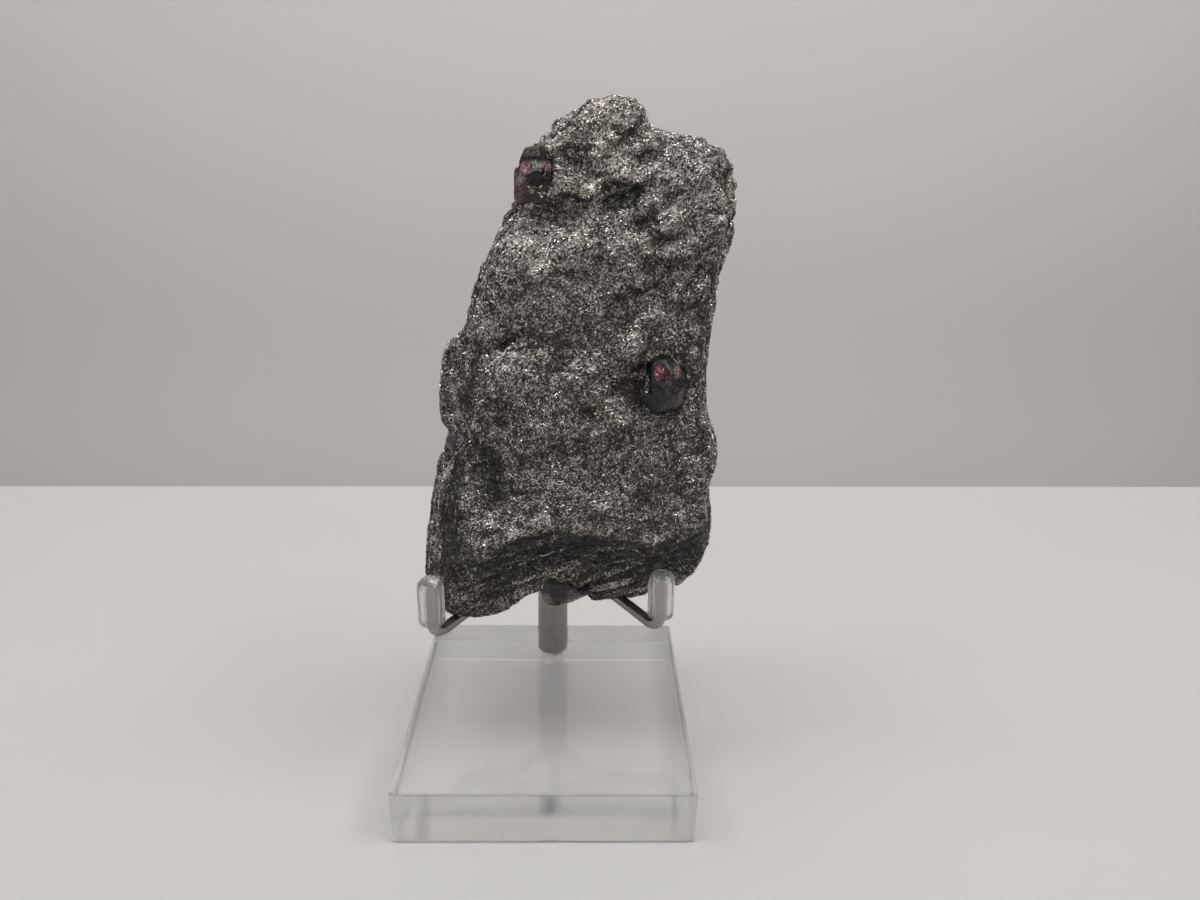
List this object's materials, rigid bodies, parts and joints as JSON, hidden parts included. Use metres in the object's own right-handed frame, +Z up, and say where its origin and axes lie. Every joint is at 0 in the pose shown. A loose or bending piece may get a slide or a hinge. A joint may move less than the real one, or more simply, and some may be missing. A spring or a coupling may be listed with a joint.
{
  "type": "mineral specimen on stand",
  "caption": "Upright lump of dark mica schist with dark red garnet crystals set in it, held by padded steel prongs on a clear square acrylic base.",
  "frame": {"origin": "centre of the acrylic base's underside", "axes": "+Z up, -Y towards the front of the specimen, +X to the viewer's right"},
  "size_m": [0.0861, 0.08, 0.1837],
  "materials": {
    "schist": "rough, glittering with mica",
    "garnet": "glassy crystal faces",
    "acrylic": "clear, polished",
    "steel": "brushed",
    "vinyl": "clear, soft"
  },
  "bodies": {
    "root": {"matrix": "schist", "garnet_upper_left": "garnet", "garnet_right": "garnet", "garnet_bottom": "garnet", "garnet_left_side": "garnet", "garnet_ridge": "garnet", "base": "acrylic", "post": "steel", "arm_left": "steel", "arm_right": "steel", "back_rod": "steel", "tip_left": "vinyl", "tip_right": "vinyl", "tip_back": "vinyl"}
  },
  "joints": []
}
